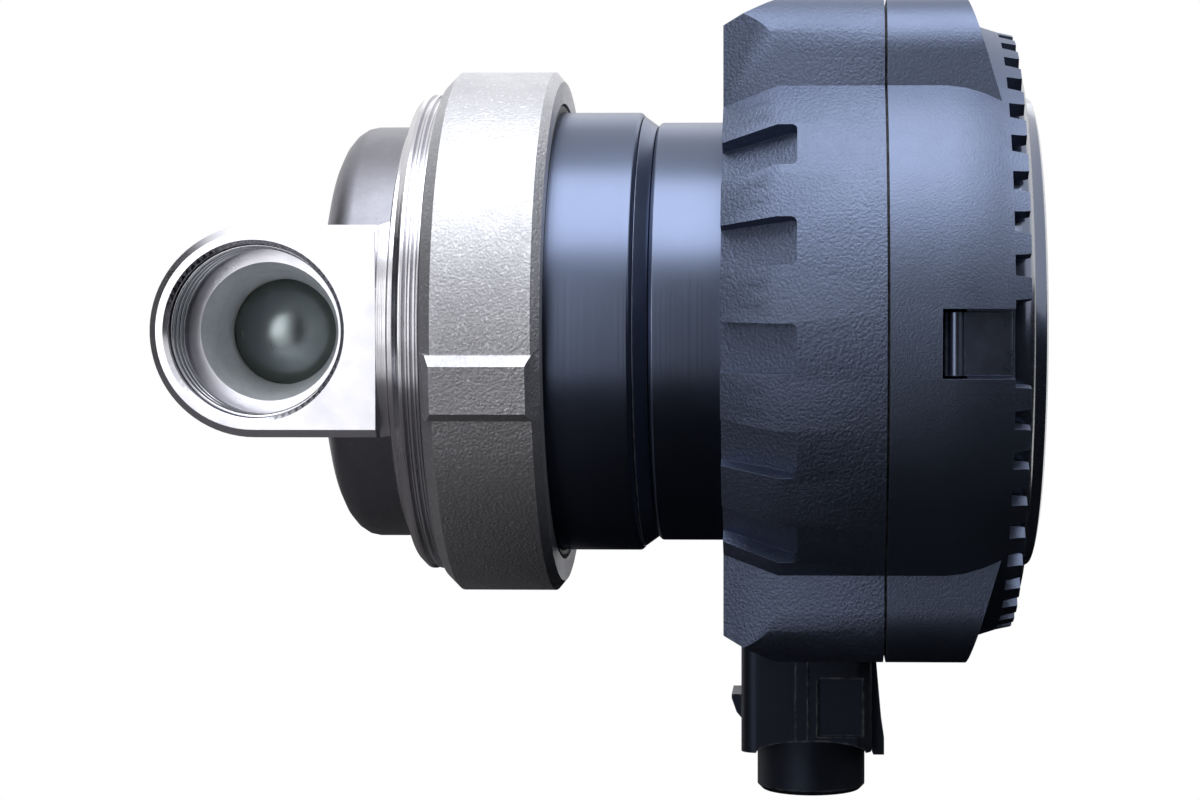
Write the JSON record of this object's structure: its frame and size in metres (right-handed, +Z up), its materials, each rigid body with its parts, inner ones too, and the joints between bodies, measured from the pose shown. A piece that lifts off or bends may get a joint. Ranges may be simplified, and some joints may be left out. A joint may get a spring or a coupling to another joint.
{
  "type": "motorised actuator head",
  "caption": "In-line motorised ball valve: steel body with threaded ports, union nut, neck with a planetary gear train, and a black actuator head with motor and plug.",
  "frame": {"origin": "centre of the front port's mouth", "axes": "+X along the actuator's main axis from the valve towards the rear cover, pipe along Y with the front port facing -Y, +Z up and the plug pointing down along -Z"},
  "size_m": [0.1078, 0.08, 0.0994],
  "materials": {
    "machined_steel": "machined stainless steel, bright on the port boss, satin on the cup",
    "blasted_steel": "cast stainless steel, blasted and lightly rough",
    "polished_steel": "ground and polished ball",
    "turned_steel": "fine turned steel",
    "seat_plastic": "white sliding plastic",
    "seal_rubber": "black seal rubber",
    "gland_brass": "turned brass",
    "gear_brass": "cut brass",
    "bush_bronze": "sintered bronze",
    "neck_black": "satin black moulding with fine turned lines",
    "shell_black": "black moulding with a fine leather grain",
    "cover_black": "smoother dark moulding",
    "latch_black": "smooth black moulding",
    "connector_black": "black connector moulding",
    "inner_plastic": "dark grey moulding",
    "gear_plastic": "natural gear plastic",
    "gear_steel": "sintered steel",
    "plate_aluminium": "plain plate",
    "can_steel": "plated deep drawn can",
    "lamination_steel": "stacked laminations",
    "coil_copper": "enamelled copper wire",
    "magnet_dark": "bonded magnet",
    "contact_gold": "gold plated contacts",
    "board_green": "glass fibre board with green lacquer",
    "chip_black": "moulded chip housings",
    "capacitor_metal": "drawn aluminium cans",
    "screw_steel": "zinc plated screws"
  },
  "bodies": {
    "valve_and_head": {"valve_body": "machined_steel", "front_seat_ring": "seat_plastic", "rear_seat_ring": "seat_plastic", "stem_washer": "seat_plastic", "stem_gland": "gland_brass", "gland_seal": "seal_rubber", "face_gasket": "seal_rubber", "dust_ring": "seal_rubber", "nose_seal": "seal_rubber", "neck_housing": "neck_black", "neck_ring": "seal_rubber", "neck_screws": "screw_steel", "output_bush": "bush_bronze", "ring_gear": "gear_steel", "gear_cover_plate": "plate_aluminium", "motor_can": "can_steel", "motor_end_cap": "inner_plastic", "motor_bushes": "bush_bronze", "motor_screws": "screw_steel", "stator_core": "lamination_steel", "stator_coils": "coil_copper", "coil_terminals": "contact_gold", "circuit_board": "board_green", "board_chips": "chip_black", "board_capacitors": "capacitor_metal", "board_screws": "screw_steel", "contact_pins": "contact_gold", "connector_shell": "connector_black", "connector_seal": "seal_rubber", "front_shell": "shell_black", "shell_seal": "seal_rubber", "rear_shell": "shell_black", "shell_screws": "screw_steel", "rear_cover": "cover_black", "cover_seal": "seal_rubber", "cover_latches": "latch_black"},
    "output": {"valve_ball": "polished_steel", "valve_stem": "turned_steel", "stem_seals": "seal_rubber", "output_carrier": "gear_steel", "output_planet_pins": "turned_steel"},
    "output_planet_a": {"output_planet_1": "gear_steel"},
    "output_planet_b": {"output_planet_2": "gear_steel"},
    "output_planet_c": {"output_planet_3": "gear_steel"},
    "input_stage": {"input_carrier": "gear_steel", "input_planet_pins": "turned_steel"},
    "input_planet_a": {"input_planet_1": "gear_plastic"},
    "input_planet_b": {"input_planet_2": "gear_plastic"},
    "input_planet_c": {"input_planet_3": "gear_plastic"},
    "rotor": {"motor_shaft": "turned_steel", "rotor_magnet": "magnet_dark", "motor_pinion": "gear_brass", "encoder_magnet": "magnet_dark"},
    "nut": {"union_nut": "blasted_steel"}
  },
  "joints": [
    {"name": "motor_spin", "type": "hinge", "parent": "valve_and_head", "child": "rotor", "pos_m": [0.061, 0.026, 0], "axis": [1, 0, 0], "range_deg": [0, 1822.5]},
    {"name": "valve_turn", "type": "hinge", "parent": "valve_and_head", "child": "output", "pos_m": [0.031, 0.026, 0], "axis": [1, 0, 0], "range_deg": [0, 90]},
    {"name": "input_carrier_turn", "type": "hinge", "parent": "valve_and_head", "child": "input_stage", "pos_m": [0.039, 0.026, 0], "axis": [1, 0, 0], "range_deg": [0, 405]},
    {"name": "output_planet_a_spin", "type": "hinge", "parent": "output", "child": "output_planet_a", "pos_m": [0.035, 0.0395, 0], "axis": [1, 0, 0], "range_deg": [-252, 0]},
    {"name": "output_planet_b_spin", "type": "hinge", "parent": "output", "child": "output_planet_b", "pos_m": [0.035, 0.01925, 0.01169], "axis": [1, 0, 0], "range_deg": [-252, 0]},
    {"name": "output_planet_c_spin", "type": "hinge", "parent": "output", "child": "output_planet_c", "pos_m": [0.035, 0.01925, -0.01169], "axis": [1, 0, 0], "range_deg": [-252, 0]},
    {"name": "input_planet_a_spin", "type": "hinge", "parent": "input_stage", "child": "input_planet_a", "pos_m": [0.0432, 0.0395, 0], "axis": [1, 0, 0], "range_deg": [-1134, 0]},
    {"name": "input_planet_b_spin", "type": "hinge", "parent": "input_stage", "child": "input_planet_b", "pos_m": [0.0432, 0.01925, 0.01169], "axis": [1, 0, 0], "range_deg": [-1134, 0]},
    {"name": "input_planet_c_spin", "type": "hinge", "parent": "input_stage", "child": "input_planet_c", "pos_m": [0.0432, 0.01925, -0.01169], "axis": [1, 0, 0], "range_deg": [-1134, 0]},
    {"name": "union_nut_turn", "type": "hinge", "parent": "valve_and_head", "child": "nut", "pos_m": [0.028, 0.026, 0], "axis": [1, 0, 0], "continuous": true}
  ],
  "couplings": [
    {"joint": "valve_turn", "follows": "motor_spin", "ratio": 0.049383},
    {"joint": "input_carrier_turn", "follows": "motor_spin", "ratio": 0.22222},
    {"joint": "output_planet_a_spin", "follows": "motor_spin", "ratio": -0.13827},
    {"joint": "output_planet_b_spin", "follows": "motor_spin", "ratio": -0.13827},
    {"joint": "output_planet_c_spin", "follows": "motor_spin", "ratio": -0.13827},
    {"joint": "input_planet_a_spin", "follows": "motor_spin", "ratio": -0.62222},
    {"joint": "input_planet_b_spin", "follows": "motor_spin", "ratio": -0.62222},
    {"joint": "input_planet_c_spin", "follows": "motor_spin", "ratio": -0.62222}
  ]
}
